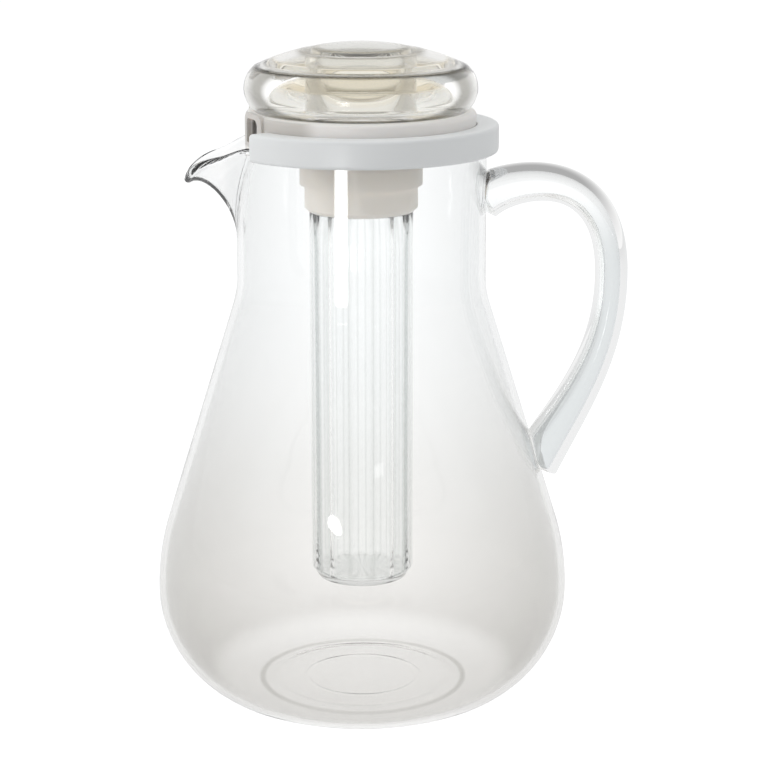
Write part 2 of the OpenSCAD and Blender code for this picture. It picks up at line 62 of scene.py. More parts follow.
def seen_ray(tree):
    """1 for rays that look at a surface straight, in a reflection or through clear plastic."""
    path = add_node(tree, "ShaderNodeLightPath")
    gloss = add_node(tree, "ShaderNodeMath", operation="MAXIMUM")
    tree.links.new(path.outputs["Is Camera Ray"], gloss.inputs[0])
    tree.links.new(path.outputs["Is Glossy Ray"], gloss.inputs[1])
    clear = add_node(tree, "ShaderNodeMath", operation="MAXIMUM")
    tree.links.new(gloss.outputs[0], clear.inputs[0])
    tree.links.new(path.outputs["Is Transmission Ray"], clear.inputs[1])
    return clear.outputs[0]


paper = bpy.data.materials.new("white_table")
paper.use_nodes = True
tree = paper.node_tree
tree.nodes.clear()
grain = add_node(tree, "ShaderNodeTexNoise", Scale=6.0, Detail=3.0)
paper_colour = add_node(tree, "ShaderNodeMix", data_type="RGBA")
paper_colour.inputs["A"].default_value = (0.80, 0.80, 0.80, 1)
paper_colour.inputs["B"].default_value = (0.82, 0.82, 0.82, 1)
tree.links.new(grain.outputs["Fac"], paper_colour.inputs["Factor"])
paper_lit = add_node(tree, "ShaderNodeBsdfDiffuse")
tree.links.new(paper_colour.outputs["Result"], paper_lit.inputs["Color"])
paper_shade = add_node(tree, "ShaderNodeBsdfDiffuse", Color=(0.32, 0.32, 0.32, 1))
paper_glow = add_node(tree, "ShaderNodeEmission", Color=(1, 1, 1, 1))
paper_white, gloss_loss = 0.86, 0.26
paper_path = add_node(tree, "ShaderNodeLightPath")
paper_gloss = add_node(tree, "ShaderNodeMath", operation="SUBTRACT", use_clamp=True)
tree.links.new(paper_path.outputs["Is Glossy Ray"], paper_gloss.inputs[0])
tree.links.new(paper_path.outputs["Is Transmission Ray"], paper_gloss.inputs[1])
paper_level = add_node(tree, "ShaderNodeMath", operation="MULTIPLY_ADD")
tree.links.new(paper_gloss.outputs[0], paper_level.inputs[0])
paper_level.inputs[1].default_value = -gloss_loss
paper_level.inputs[2].default_value = paper_white
tree.links.new(paper_level.outputs[0], paper_glow.inputs["Strength"])
paper_seen = add_node(tree, "ShaderNodeAddShader")
tree.links.new(paper_shade.outputs[0], paper_seen.inputs[0])
tree.links.new(paper_glow.outputs[0], paper_seen.inputs[1])
paper_mix = add_node(tree, "ShaderNodeMixShader")
tree.links.new(seen_ray(tree), paper_mix.inputs[0])
tree.links.new(paper_lit.outputs[0], paper_mix.inputs[1])
tree.links.new(paper_seen.outputs[0], paper_mix.inputs[2])
paper_out = add_node(tree, "ShaderNodeOutputMaterial")
tree.links.new(paper_mix.outputs[0], paper_out.inputs["Surface"])
table.data.materials.append(paper)

# Room: white behind, and for the glints a pale wall that darkens towards the ceiling
room = bpy.data.worlds.new("white_room")
room.use_nodes = True
bpy.context.scene.world = room
tree = room.node_tree
tree.nodes.clear()
room_way = add_node(tree, "ShaderNodeTexCoord")
room_split = add_node(tree, "ShaderNodeSeparateXYZ")
tree.links.new(room_way.outputs["Generated"], room_split.inputs[0])
room_ramp = add_node(tree, "ShaderNodeValToRGB")
room_ramp.color_ramp.elements[0].position = 0.0
room_ramp.color_ramp.elements[0].color = (0.93, 0.93, 0.93, 1)
room_ramp.color_ramp.elements[1].position = 0.75
room_ramp.color_ramp.elements[1].color = (0.42, 0.42, 0.42, 1)
room_wall = room_ramp.color_ramp.elements.new(0.22)
room_wall.color = (0.80, 0.80, 0.80, 1)
tree.links.new(room_split.outputs["Z"], room_ramp.inputs["Fac"])
wall_level, daylight = 1.0, 0.53
room_glow = add_node(tree, "ShaderNodeBackground", Strength=wall_level)
tree.links.new(room_ramp.outputs["Color"], room_glow.inputs["Color"])
room_light = add_node(tree, "ShaderNodeBackground", Color=(0.97, 0.985, 1.0, 1), Strength=daylight)
room_white = add_node(tree, "ShaderNodeBackground", Color=(1, 1, 1, 1), Strength=1.0)
room_seen = add_node(tree, "ShaderNodeMixShader")
tree.links.new(seen_ray(tree), room_seen.inputs[0])
tree.links.new(room_light.outputs[0], room_seen.inputs[1])
tree.links.new(room_glow.outputs[0], room_seen.inputs[2])
room_path = add_node(tree, "ShaderNodeLightPath")
clear_share = 0.6
room_pale = add_node(tree, "ShaderNodeMath", operation="MULTIPLY_ADD")
tree.links.new(room_path.outputs["Is Transmission Ray"], room_pale.inputs[0])
room_pale.inputs[1].default_value = clear_share
tree.links.new(room_path.outputs["Is Camera Ray"], room_pale.inputs[2])
room_mix = add_node(tree, "ShaderNodeMixShader")
tree.links.new(room_pale.outputs[0], room_mix.inputs[0])
tree.links.new(room_seen.outputs[0], room_mix.inputs[1])
tree.links.new(room_white.outputs[0], room_mix.inputs[2])
room_out = add_node(tree, "ShaderNodeOutputWorld")
tree.links.new(room_mix.outputs[0], room_out.inputs["Surface"])

# Lamps: a large soft panel at the left, a fill at the right, one above, and three that show only
# as glints: a gridded strip whose reflection runs down the neck, and two far ones that make the
# small spots low on the body.
# Each row holds a name, place, aim, shape, width, height, watts, spread in degrees, and glints only
panels = [
    ("key_panel", (-1.95, -0.62, 1.3), (0, 0, 0.15), "RECTANGLE", 1.1, 1.1, 20, 180, False),
    ("fill_panel", (1.7, -0.9, 1.0), (0, 0, 0.15), "RECTANGLE", 0.9, 0.9, 3.5, 180, False),
    ("top_panel", (0.1, 0.3, 1.9), (0, 0, 0.1), "RECTANGLE", 0.8, 0.8, 6, 180, False),
    ("low_strip", (-0.19, -0.62, 0.114), (0, 0, 0.225), "RECTANGLE", 0.13, 0.10, 0.007, 17, True),
    ("far_lamp", (-0.53, -1.85, 0.650), (0, 0, 0.10), "ELLIPSE", 0.30, 0.020, 0.13, 180, True),
    ("far_window", (0.40, -1.87, 0.727), (0, 0, 0.11), "RECTANGLE", 0.20, 0.020, 0.018, 180, True),
]
for name, place, aim, shape, wide, high, watts, spread, glints in panels:
    lamp = bpy.data.lights.new(name, "AREA")
    lamp.shape = shape
    lamp.size = wide
    lamp.size_y = high
    lamp.energy = watts
    lamp.spread = math.radians(spread)
    holder = bpy.data.objects.new(name, lamp)
    holder.location = place
    holder.rotation_euler = (Vector(aim) - Vector(place)).to_track_quat("-Z", "Y").to_euler()
    holder.visible_camera = False
    holder.visible_glossy = glints
    holder.visible_transmission = glints
    holder.visible_diffuse = not glints
    bpy.context.collection.objects.link(holder)

# Camera: a long lens that looks down a little, as in the photo
camera_down = 14.36
camera = bpy.data.objects.new("camera", bpy.data.cameras.new("camera"))
camera.data.lens = 105.14
camera.data.sensor_width = 36
camera.location = (0.0121, -0.950, 0.3764)
camera.rotation_euler = (math.radians(90 - camera_down), 0, 0)
bpy.context.collection.objects.link(camera)
bpy.context.scene.camera = camera
bpy.context.scene.view_settings.view_transform = "Standard"
bpy.context.scene.cycles.max_bounces = 28
bpy.context.scene.cycles.transmission_bounces = 24
bpy.context.scene.cycles.glossy_bounces = 24
bpy.context.scene.cycles.transparent_max_bounces = 24

# Jug body
# Thin clear body with its foot ring and spout, injection moulded in one piece in polished clear
# plastic. The neck opens out into the drooping spout, and the bottom carries the gate circle.
mm = 0.001
rim_z = 242.0
neck_r = 52.6
wall = 2.6
foot_h = 0.75
foot_r = 46.5
foot_w = 5.0
gate_r = 25.3
gate_w = 1.5
gate_deep = 0.08
belly_r, belly_z = 88.76, 47.0
upper_arc, lower_arc, heel_arc, waist_arc, waist_z = 103.6, 50.0, 30.0, 45.0, 185.0
spout_reach, spout_droop, spout_half, spout_depth, spout_wall = 73.2, 19.5, 33.0, 42.0, 3.0

belly_at = (belly_r - upper_arc, belly_z)
base_at = (belly_r - lower_arc, belly_z)
waist_at = (neck_r + waist_arc, waist_z)
span = (waist_at[0] - belly_at[0], waist_at[1] - belly_at[1])
cone = math.atan2(span[1], span[0]) - math.acos((upper_arc + waist_arc) / math.hypot(*span))
heel_drop = belly_z - foot_h - heel_arc
heel_at = (base_at[0] + math.sqrt((lower_arc - heel_arc) ** 2 - heel_drop ** 2), foot_h + heel_arc)
heel_turn = math.atan2(heel_at[1] - base_at[1], heel_at[0] - base_at[0])
sector_z = rim_z - spout_depth - wall
sector_past = 0.12
sector_turn = math.radians(spout_half + 4)


def arc(centre, radius, start, end, steps):
    """Points along an arc in the plane of radius and height."""
    return [(centre[0] + radius * math.cos(start + (end - start) * i / steps),
             centre[1] + radius * math.sin(start + (end - start) * i / steps)) for i in range(steps + 1)]


def jug_side(inset):
    """The side from the bottom to the foot of the spout, inset from the outer face."""
    side = arc(heel_at, heel_arc - inset, -math.pi / 2, heel_turn, 12)
    side += arc(base_at, lower_arc - inset, heel_turn, 0, 10)[1:]
    side += arc(belly_at, upper_arc - inset, 0, cone, 10)[1:]
    low, turn = side[-1], arc(waist_at, waist_arc + inset, math.pi + cone, math.pi, 8)
    for i in range(1, 8):
        side.append((low[0] + (turn[0][0] - low[0]) * i / 8, low[1] + (turn[0][1] - low[1]) * i / 8))
    side += turn
    side.append((neck_r - inset, sector_z))
    return side


def cubic(p, t):
    """Point at share t of a cubic curve through four control points."""
    a, b, c, d = (1 - t) ** 3, 3 * (1 - t) ** 2 * t, 3 * (1 - t) * t * t, t ** 3
    return tuple(a * p[0][i] + b * p[1][i] + c * p[2][i] + d * p[3][i] for i in range(len(p[0])))


root_y = neck_r * math.sin(math.radians(spout_half))
root_x = neck_r * math.cos(math.radians(spout_half))
spout_out = spout_reach - root_x
tip_z = rim_z - spout_droop


def neck_turn(t):
    """Angle on the neck, from the spout's middle, that share t of the spout starts from."""
    if abs(t) < 1:
        return math.radians(spout_half) * abs(t) ** 1.5
    return math.radians(spout_half) + math.radians(4) * (abs(t) - 1) / sector_past


def spout_edge(t):
    """Outer edge of the spout, from the tip (0) to its root on the rim (1 or -1)."""
    p = cubic([(spout_reach, 0, tip_z), (spout_reach, root_y * 0.34, tip_z + spout_droop * 0.3),
               (spout_reach - spout_out * 0.42, root_y * 0.66, tip_z + spout_droop * 0.78),
               (root_x, root_y, rim_z)], abs(t))
    return (p[0], -p[1] if t < 0 else p[1], p[2])


def sheet(t, v):
    """Outer face of the neck and spout. v runs from the foot (0) over the root (1) to the edge (2)."""
    a, s = neck_turn(t), -1 if t < 0 else 1
    leave = rim_z - spout_depth * max(0.12, 1 - min(1, abs(t)) ** 1.5)
    if v < 1:
        return (neck_r * math.cos(a), s * neck_r * math.sin(a), sector_z + (leave - sector_z) * v)
    root = (neck_r * math.cos(a), s * neck_r * math.sin(a), leave)
    lip, fade = (root[0], root[1], rim_z), 0
    if abs(t) < 1:
        lip, fade = spout_edge(t), 1 - t * t
    curl = fade * fade
    up = spout_droop * 0.36 * curl - (1 - curl) * (lip[2] - root[2]) / 3
    lead = max(spout_depth * 0.33 * fade, (lip[2] - root[2]) / 3)
    return cubic([root, (root[0], root[1], root[2] + lead),
                  (lip[0] - spout_out * 0.21 * curl, lip[1], lip[2] + up), lip], v - 1)


def sheet_inside(t, v, inset):
    """Point under the outer face of the neck and spout, inset by the wall."""
    if v <= 1 or abs(t) >= 1:
        z = sheet(t, v)[2]
        a, s = neck_turn(t), -1 if t < 0 else 1
        return ((neck_r - inset) * math.cos(a), s * (neck_r - inset) * math.sin(a), z)
    h = 0.002
    along = Vector(sheet(t + h, v)) - Vector(sheet(t - h, v))
    up = Vector(sheet(t, min(2, v + h))) - Vector(sheet(t, v - h))
    out = along.cross(up).normalized()
    thick = inset + (spout_wall - wall) * (v - 1) * inset / wall
    p = Vector(sheet(t, v)) - out * thick
    lip_z = spout_edge(t)[2] + spout_wall * 1.6 * (1 - t * t) ** 2
    return (p.x, p.y, min(p.z, lip_z, rim_z))


spout_ts = [-1 - sector_past, -1 - sector_past / 2] + [i / 28 - 1 for i in range(57)] \
    + [1 + sector_past / 2, 1 + sector_past]
round_steps = 108
round_part = 2 * math.pi - 2 * sector_turn
round_turns = [sector_turn + round_part * i / round_steps for i in range(1, round_steps)]


lip_bead, lip_bead_h = 0.28, 3.4


def lip_start(t):
    """Share v at which the rounded top of the lip starts, half a wall below the edge."""
    half = spout_wall / 2 + lip_bead if abs(t) < 0.97 else wall / 2
    pace = (Vector(sheet(t, 2)) - Vector(sheet(t, 1.96))).length / 0.04
    return 2 - half / max(pace, half)


def swell(t, v):
    """How far both faces of the lip stand out at a place below the edge of the spout."""
    below = (Vector(sheet(t, 2)) - Vector(sheet(t, v))).length
    if v <= 1 or abs(t) >= 0.97 or below > lip_bead_h:
        return 0.0
    return lip_bead * math.cos(math.pi / 2 * below / lip_bead_h) ** 2 * min(1, (0.97 - abs(t)) / 0.12)


def jug_columns(side_out, side_in):
    """Points round the jug: each column runs up the outside, over the lip and down the inside."""
    columns = []
    nose_turns = [math.pi * k / 8 for k in range(1, 8)]
    for t in spout_ts:
        turn, s = neck_turn(t), -1 if t < 0 else 1
        end = lip_start(t)
        vs = [j / 4 for j in range(1, 4)] + [1 + (end - 1) * j / 14 for j in range(15)]
        up_out, up_in = [], []
        for v in vs:
            p, q = Vector(sheet(t, v)), Vector(sheet_inside(t, v, wall))
            grow = (p - q).normalized() * swell(t, v)
            up_out.append(p + grow)
            up_in.append(q - grow)
        p, q = up_out[-1], up_in[-1]
        middle, half = (p + q) / 2, (p - q) / 2
        rise = Vector(sheet(t, 2)) - Vector(sheet(t, end))
        rise = (rise - half * (rise.dot(half) / half.dot(half))).normalized() * half.length
        nose = [middle + half * math.cos(a) + rise * math.sin(a) for a in nose_turns]
        low_out = [Vector((r * math.cos(turn), s * r * math.sin(turn), z)) for r, z in side_out]
        low_in = [Vector((r * math.cos(turn), s * r * math.sin(turn), z)) for r, z in side_in]
        columns.append(low_out + up_out + nose + up_in[::-1] + low_in[::-1])
    leave = rim_z - spout_depth * 0.12
    half = wall / 2
    neck_zs = [sector_z + (leave - sector_z) * j / 4 for j in range(1, 4)] \
        + [leave + (rim_z - half - leave) * j / 14 for j in range(15)]
    profile = list(side_out) + [(neck_r, z) for z in neck_zs]
    profile += [(neck_r - half + half * math.cos(a), rim_z - half + half * math.sin(a)) for a in nose_turns]
    profile += [(neck_r - wall, z) for z in neck_zs[::-1]] + list(side_in)[::-1]
    for a in round_turns:
        columns.append([Vector((r * math.cos(a), r * math.sin(a), z)) for r, z in profile])
    return columns


def add_piece(name, points, faces):
    """A mesh piece with smooth faces, from points in millimetres."""
    mesh = bpy.data.meshes.new(name)
    mesh.from_pydata([(x * mm, y * mm, z * mm) for x, y, z in points], [], faces)
    mesh.validate()
    for f in mesh.polygons:
        f.use_smooth = True
    piece = bpy.data.objects.new(name, mesh)
    bpy.context.collection.objects.link(piece)
    return piece


foot_mid, gate_mid, gate_span = foot_r - foot_w / 2, gate_r - gate_w / 2, 1.6
foot_in, foot_out = 7.5, 13.0


def with_foot(side, deep):
    """One face of the bottom with the soft bump of the foot ring, which runs out into the heel."""
    sunk = []
    for r, z in side:
        share = min(1, abs(r - foot_mid) / (foot_out if r > foot_mid else foot_in))
        sunk.append((r, z - deep * (1 + math.cos(math.pi * share)) / 2 if z < belly_z / 4 else z))
    return sunk


under = [(gate_mid + gate_span * (k / 6 - 1), foot_h + gate_deep * (1 - math.cos(math.pi * k / 6)) / 2)
         for k in range(13)]
foot_start, foot_end = foot_mid - foot_in, heel_at[0] - 0.4
foot_flat = [foot_start + (foot_end - foot_start) * k / 24 for k in range(25)]
bottom_rings = [8.0, 16.0, 21.0]
outer_side = [(r, foot_h) for r in bottom_rings] + under + [(r, foot_h) for r in foot_flat] + jug_side(0)
foot_deep = foot_h - 0.02
outer_side = with_foot(outer_side, foot_deep)
inner_side = [(r, foot_h + wall) for r in bottom_rings + [30.0] + foot_flat] + jug_side(wall)
inner_side = with_foot(inner_side, foot_deep)
columns = jug_columns(outer_side, inner_side)
points = [tuple(p) for column in columns for p in column]
faces = []
high, count = len(columns[0]), len(columns)
points += [(0, 0, foot_h), (0, 0, foot_h + wall)]
for i in range(count):
    a, b = i * high, (i + 1) % count * high
    faces += [(a + j, b + j, b + j + 1, a + j + 1) for j in range(high - 1)]
    faces.append((count * high, b, a))
    faces.append((count * high + 1, a + high - 1, b + high - 1))
points = [(-x, -y, z) for x, y, z in points]
jug = add_piece("jug_shell", points, faces)


def clear_plastic(name, low_tint_and_shade, high_tint_and_shade, low_z, high_z, low_rim_shade, high_rim_shade, edge_power, ior, shade):
    """Polished clear plastic: faint flow marks, a tint that changes with the height, darker rims.

    Low and high are the tints at the heights low_z and high_z, the rim shade ones those of a wall looked
    at along its face. Where the low tint is darker it is painted shade, and the darker rims are painted
    shade too. Shade is the colour of the light that passes through to what lies behind.
    """
    m = bpy.data.materials.new(name)
    m.use_nodes = True
    nt = m.node_tree
    nt.nodes.clear()
    where = add_node(nt, "ShaderNodeTexCoord")
    split = add_node(nt, "ShaderNodeSeparateXYZ")
    nt.links.new(where.outputs["Object"], split.inputs[0])
    rise = add_node(nt, "ShaderNodeMapRange", interpolation_type="SMOOTHSTEP")
    rise.inputs["From Min"].default_value = low_z
    rise.inputs["From Max"].default_value = high_z
    nt.links.new(split.outputs["Z"], rise.inputs["Value"])
    tint = add_node(nt, "ShaderNodeMix", data_type="RGBA")
    tint.inputs["A"].default_value = (*low_tint_and_shade, 1)
    tint.inputs["B"].default_value = (*high_tint_and_shade, 1)
    nt.links.new(rise.outputs[0], tint.inputs["Factor"])
    # Painted shade: the rims darken where a wall is looked at along its face
    facing = add_node(nt, "ShaderNodeLayerWeight", Blend=0.5)
    steep = add_node(nt, "ShaderNodeMath", operation="POWER")
    nt.links.new(facing.outputs["Facing"], steep.inputs[0])
    steep.inputs[1].default_value = edge_power
    rim = add_node(nt, "ShaderNodeMix", data_type="RGBA", blend_type="MULTIPLY")
    edge = add_node(nt, "ShaderNodeMix", data_type="RGBA")
    edge.inputs["A"].default_value = (*low_rim_shade, 1)
    edge.inputs["B"].default_value = (*high_rim_shade, 1)
    nt.links.new(rise.outputs[0], edge.inputs["Factor"])
    nt.links.new(edge.outputs["Result"], rim.inputs["B"])
    nt.links.new(steep.outputs[0], rim.inputs["Factor"])
    nt.links.new(tint.outputs["Result"], rim.inputs["A"])
    flow = add_node(nt, "ShaderNodeTexNoise", Scale=28.0, Detail=2.0, Roughness=0.4)
    nt.links.new(where.outputs["Object"], flow.inputs["Vector"])
    bump = add_node(nt, "ShaderNodeBump", Strength=0.05, Distance=0.001)
    nt.links.new(flow.outputs["Fac"], bump.inputs["Height"])
    haze = add_node(nt, "ShaderNodeTexNoise", Scale=260.0, Detail=3.0)
    nt.links.new(where.outputs["Object"], haze.inputs["Vector"])
    polish = add_node(nt, "ShaderNodeMapRange")
    polish.inputs["From Min"].default_value = 0.45
    polish.inputs["From Max"].default_value = 0.75
    polish.inputs["To Min"].default_value = 0.0
    polish.inputs["To Max"].default_value = 0.04
    nt.links.new(haze.outputs["Fac"], polish.inputs["Value"])
    skin = add_node(nt, "ShaderNodeBsdfPrincipled")
    skin.inputs["IOR"].default_value = ior
    skin.inputs["Transmission Weight"].default_value = 1.0
    nt.links.new(rim.outputs["Result"], skin.inputs["Base Color"])
    nt.links.new(polish.outputs[0], skin.inputs["Roughness"])
    nt.links.new(bump.outputs[0], skin.inputs["Normal"])
    path = add_node(nt, "ShaderNodeLightPath")
    soft = add_node(nt, "ShaderNodeMath", operation="MAXIMUM")
    nt.links.new(path.outputs["Is Shadow Ray"], soft.inputs[0])
    nt.links.new(path.outputs["Is Diffuse Ray"], soft.inputs[1])
    through = add_node(nt, "ShaderNodeBsdfTransparent", Color=(*shade, 1))
    mix = add_node(nt, "ShaderNodeMixShader")
    nt.links.new(soft.outputs[0], mix.inputs[0])
    nt.links.new(skin.outputs[0], mix.inputs[1])
    nt.links.new(through.outputs[0], mix.inputs[2])
    out = add_node(nt, "ShaderNodeOutputMaterial")
    nt.links.new(mix.outputs[0], out.inputs["Surface"])
    return m


def by_place(nt, value, start, end, low, high):
    """A factor that goes from low to high as a length in metres goes from start to end."""
    ramp = add_node(nt, "ShaderNodeMapRange", interpolation_type="SMOOTHSTEP")
    for key, number in (("From Min", start), ("From Max", end), ("To Min", low), ("To Max", high)):
        ramp.inputs[key].default_value = number
    nt.links.new(value, ramp.inputs["Value"])
    return ramp.outputs[0]


def both(nt, kind, a, b):
    """Two values joined by one operation."""
    n = add_node(nt, "ShaderNodeMath", operation=kind)
    nt.links.new(a, n.inputs[0])
    nt.links.new(b, n.inputs[1])
    return n.outputs[0]


def band(nt, value, start, full, end_full, end):
    """A factor that rises to 1 from start to full and falls back to 0 from end_full to end."""
    up, down = by_place(nt, value, start, full, 0, 1), by_place(nt, value, end_full, end, 1, 0)
    return both(nt, "MULTIPLY", up, down)


def places(nt):
    """X, Y and height of a shaded point, and its distance from the axis."""
    where = add_node(nt, "ShaderNodeTexCoord")
    split = add_node(nt, "ShaderNodeSeparateXYZ")
    nt.links.new(where.outputs["Object"], split.inputs[0])
    flat = add_node(nt, "ShaderNodeVectorMath", operation="MULTIPLY")
    flat.inputs[1].default_value = (1, 1, 0)
    nt.links.new(where.outputs["Object"], flat.inputs[0])
    away = add_node(nt, "ShaderNodeVectorMath", operation="LENGTH")
    nt.links.new(flat.outputs[0], away.inputs[0])
    return split.outputs["X"], split.outputs["Y"], split.outputs["Z"], away.outputs["Value"]


def lay_over(nt, part, colour, kind="MULTIPLY"):
    """A layer of colour over the base colour, where its factor is 1."""
    skin = nt.nodes["Principled BSDF"]
    layer = add_node(nt, "ShaderNodeMix", data_type="RGBA", blend_type=kind)
    layer.inputs["B"].default_value = (*colour, 1)
    nt.links.new(part, layer.inputs["Factor"])
    nt.links.new(skin.inputs["Base Color"].links[0].from_socket, layer.inputs["A"])
    nt.links.new(layer.outputs["Result"], skin.inputs["Base Color"])


# Painted shade: the jug is tinted darker towards the bottom and along its rims, more so low down
jug_clear = clear_plastic(
    "jug_clear_plastic", low_z=0.0, high_z=0.18, low_tint_and_shade=(0.90, 0.89, 0.875), high_tint_and_shade=(0.995, 1.0, 1.0),
    low_rim_shade=(0.60, 0.595, 0.58), high_rim_shade=(0.80, 0.805, 0.805), edge_power=0.6, ior=1.49,
    shade=(0.98, 0.98, 0.98))
nt = jug_clear.node_tree
x_at, y_at, height, radius = places(nt)
# The flat bottom and the spout are looked at along their faces, so the painted shade of the low tint and
# the rims is mixed back towards white there
floor_shade_lift = by_place(nt, height, 0.003, 0.011, 0.8, 0)
spout_shade_lift = by_place(nt, height, 0.19, 0.20, 0, 1)
spout_shade_lift = both(nt, "MULTIPLY", by_place(nt, x_at, -0.058, -0.054, 0.55, 0), spout_shade_lift)
lay_over(nt, floor_shade_lift, (1.0, 0.997, 0.988), "MIX")
lay_over(nt, spout_shade_lift, (0.99, 0.99, 0.99), "MIX")
# Painted shade: a soft grey line on the foot ring, standing in for what the ring bends from behind it
foot_line_shade = band(nt, radius, 0.0426, 0.0444, 0.0449, 0.0468)
foot_line_shade = both(nt, "MULTIPLY", foot_line_shade, by_place(nt, height, 0.004, 0.007, 1, 0))
lay_over(nt, foot_line_shade, (0.72, 0.715, 0.70))
jug.data.materials.append(jug_clear)
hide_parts("jug_body")
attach(jug, "jug")

# Handle
# Solid clear loop with an oval section, moulded apart and bonded to the neck and to the side of
# the body. Both ends are cut to the curve that they sit on.
top_drop, handle_reach, handle_side_z, handle_foot_z = 24.5, 106.0, 184.0, 102.0
top_t, grip_t, foot_t, handle_w, bond = 20.0, 13.8, 21.0, 21.0, 0.05
cone_x = (belly_at[0] * math.cos(cone) + belly_at[1] * math.sin(cone) + upper_arc
          - handle_foot_z * math.sin(cone)) / math.cos(cone)
handle_start = (neck_r - wall / 2, rim_z - top_drop)
handle_end = (cone_x - wall / 2, handle_foot_z)
handle_run, handle_fall = handle_reach - neck_r, handle_side_z - handle_foot_z
upper_line = [handle_start, (handle_start[0] + handle_run * 0.26, handle_start[1] + handle_run * 0.17),
              (handle_reach, handle_side_z + (handle_start[1] - handle_side_z) * 1.47),
              (handle_reach, handle_side_z)]
lower_line = [(handle_reach, handle_side_z), (handle_reach, handle_side_z - handle_fall * 0.42),
              (handle_end[0] + handle_fall * 0.38 * math.cos(math.radians(60)),
               handle_end[1] + handle_fall * 0.38 * math.sin(math.radians(60))), handle_end]


def handle_line(s):
    """Point of the centre line, from the neck (0) over the grip (1) to the body (2)."""
    return cubic(upper_line, s) if s < 1 else cubic(lower_line, s - 1)


def side_radius(z):
    """Outer radius of the jug at a height."""
    if z >= waist_z:
        return neck_r
    if z >= waist_z - waist_arc * math.sin(cone):
        return waist_at[0] - math.sqrt(waist_arc ** 2 - (z - waist_z) ** 2)
    if z >= belly_z + upper_arc * math.sin(cone):
        return (belly_at[0] * math.cos(cone) + belly_at[1] * math.sin(cone) + upper_arc
                - z * math.sin(cone)) / math.cos(cone)
    return belly_at[0] + math.sqrt(upper_arc ** 2 - (z - belly_z) ** 2)


def onto_jug(p, way, near, far):
    """The place along a line where it meets the jug, with the bond's thickness kept."""
    for _ in range(40):
        mid = (near + far) / 2
        q = p + way * mid
        if math.hypot(q.x, q.y) > side_radius(q.z) + bond:
            near = mid
        else:
            far = mid
    return p + way * near


handle_rings, handle_sides = 96, 48
rings = []
for i in range(handle_rings + 1):
    s = 2 * i / handle_rings
    x, z = handle_line(s)
    x0, z0 = handle_line(max(0, s - 0.002))
    x1, z1 = handle_line(min(2, s + 0.002))
    along = Vector((x1 - x0, 0, z1 - z0)).normalized()
    across = Vector((-along.z, 0, along.x))
    rest = (1 - s) if s < 1 else (s - 1)
    t = (grip_t + ((top_t if s < 1 else foot_t) - grip_t) * rest ** 2) / 2
    ring = []
    for j in range(handle_sides):
        a = 2 * math.pi * j / handle_sides
        ring.append(Vector((x, handle_w / 2 * math.sin(a), z)) + across * (t * math.cos(a)))
    rings.append((Vector((x, 0, z)), along, ring))


def outside(p):
    """Whether a point lies clear of the jug."""
    return math.hypot(p.x, p.y) > side_radius(p.z) + bond


# The sweep is trimmed to the jug: points inside slide back along the centre line's direction
trimmed = []
for centre, along, ring in rings:
    trimmed.append([p if outside(p) else None for p in ring])
for j in range(handle_sides):
    hits = [i for i in range(handle_rings + 1) if trimmed[i][j] is not None]
    first, last = hits[0], hits[-1]
    entry = rings[first][2][j]
    if first > 0:
        way = rings[first - 1][2][j] - entry
        entry = onto_jug(entry, way, 0.0, 1.0)
    leave_at = rings[last][2][j]
    if last < handle_rings:
        way = rings[last + 1][2][j] - leave_at
        leave_at = onto_jug(leave_at, way, 0.0, 1.0)
    column = [entry] + [rings[i][2][j] for i in range(first, last + 1)] + [leave_at]
    lengths = [0.0]
    for i in range(1, len(column)):
        lengths.append(lengths[-1] + (column[i] - column[i - 1]).length)
    even = []
    k = 0
    for i in range(handle_rings + 1):
        want = lengths[-1] * i / handle_rings
        while k < len(column) - 2 and lengths[k + 1] < want:
            k += 1
        gap = max(lengths[k + 1] - lengths[k], 1e-6)
        even.append(column[k].lerp(column[k + 1], min(1, max(0, (want - lengths[k]) / gap))))
    for i in range(handle_rings + 1):
        trimmed[i][j] = even[i]
points = [tuple(p) for ring in trimmed for p in ring]
faces = []
for i in range(handle_rings):
    for j in range(handle_sides):
        k = (j + 1) % handle_sides
        here, above = i * handle_sides, (i + 1) * handle_sides
        faces.append((here + j, here + k, above + k, above + j))


def bond_face(ring, start, flip):
    """Rings of points that close one end of the handle along the curve of the jug."""
    centre = sum(ring, Vector()) / len(ring)
    before = start
    steps = 5
    for k in range(1, steps):
        here = len(points)
        for p in ring:
            q = p.lerp(centre, k / steps)
            out = Vector((q.x, q.y, 0)).normalized()
            r = side_radius(q.z) + bond
            points.append((out.x * r, out.y * r, q.z))
        for j in range(handle_sides):
            n = (j + 1) % handle_sides
            f = (before + j, before + n, here + n, here + j)
            faces.append(f[::-1] if flip else f)
        before = here
    out = Vector((centre.x, centre.y, 0)).normalized()
    r = side_radius(centre.z) + bond
    points.append((out.x * r, out.y * r, centre.z))
    for j in range(handle_sides):
        f = (before + j, before + (j + 1) % handle_sides, len(points) - 1)
        faces.append(f[::-1] if flip else f)


bond_face(trimmed[0], 0, True)
bond_face(trimmed[-1], handle_rings * handle_sides, False)
handle = add_piece("handle_loop", points, faces)
# Painted shade: the loop is tinted much darker below the neck joint, and darker along its rims
handle_clear = clear_plastic(
    "handle_clear_plastic", low_z=0.19, high_z=0.225, low_tint_and_shade=(0.69, 0.715, 0.72),
    high_tint_and_shade=(0.98, 0.99, 0.99), low_rim_shade=(0.60, 0.61, 0.61), high_rim_shade=(0.74, 0.75, 0.75),
    edge_power=2.4, ior=1.49, shade=(0.97, 0.97, 0.975))
handle.data.materials.append(handle_clear)
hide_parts("handle")
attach(handle, "jug")

